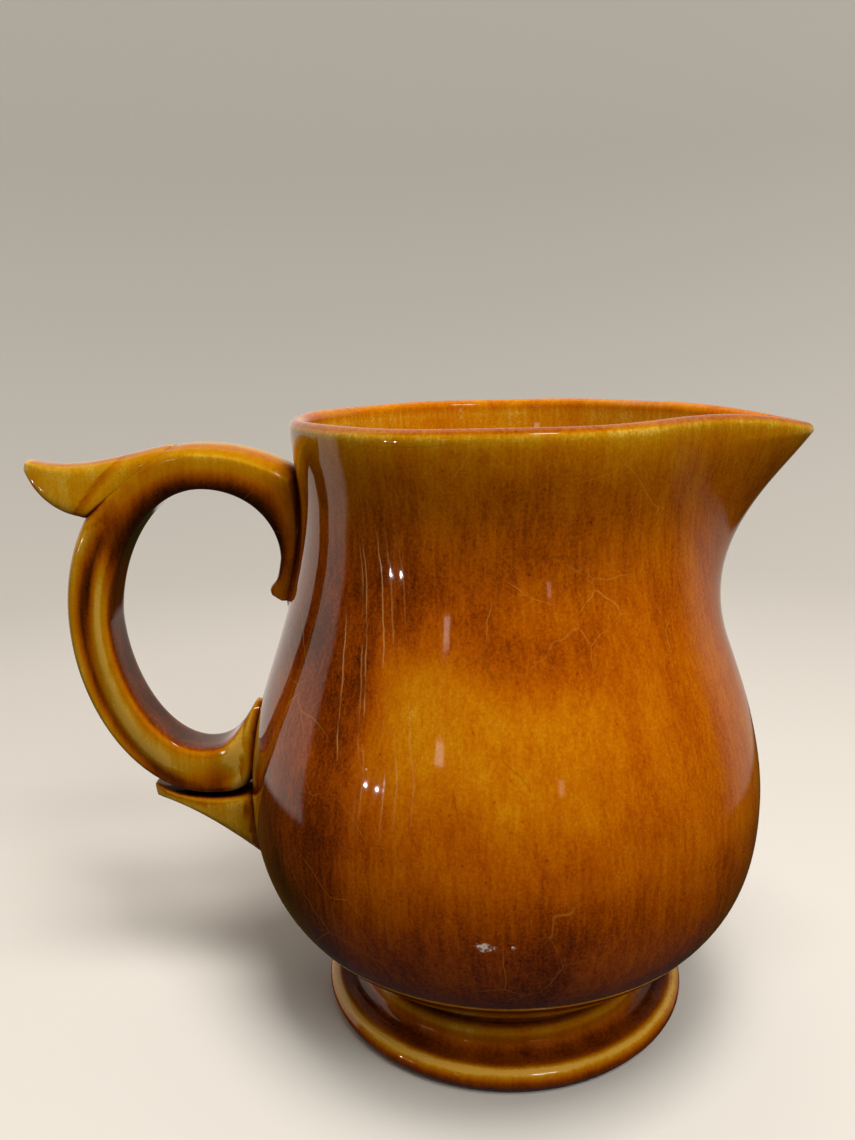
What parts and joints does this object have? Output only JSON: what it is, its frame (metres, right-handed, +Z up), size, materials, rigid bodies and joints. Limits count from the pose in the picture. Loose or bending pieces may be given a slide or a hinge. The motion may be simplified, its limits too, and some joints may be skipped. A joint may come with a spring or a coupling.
{
  "type": "ceramic pitcher",
  "caption": "Glazed ceramic pitcher with a round belly, flared neck, pulled spout, stepped foot ring and a C-scroll handle with a thumb rest.",
  "frame": {"origin": "centre of the foot's resting ring, on the surface it stands on", "axes": "+Z up along the body's axis, +X towards the spout, -X towards the handle, +Y across"},
  "size_m": [0.2395, 0.1598, 0.19],
  "materials": {
    "body_glaze": "glossy amber-brown glaze, deeper in hollows and olive on edges",
    "foot_glaze": "glossy amber-brown glaze, dark in the hollow and olive on the lip",
    "handle_glaze": "glossy olive-amber glaze, deeper in the grooves"
  },
  "bodies": {
    "root": {"body": "body_glaze", "foot": "foot_glaze", "handle": "handle_glaze", "thumb_rest": "handle_glaze", "lower_leaf": "handle_glaze"}
  },
  "joints": []
}
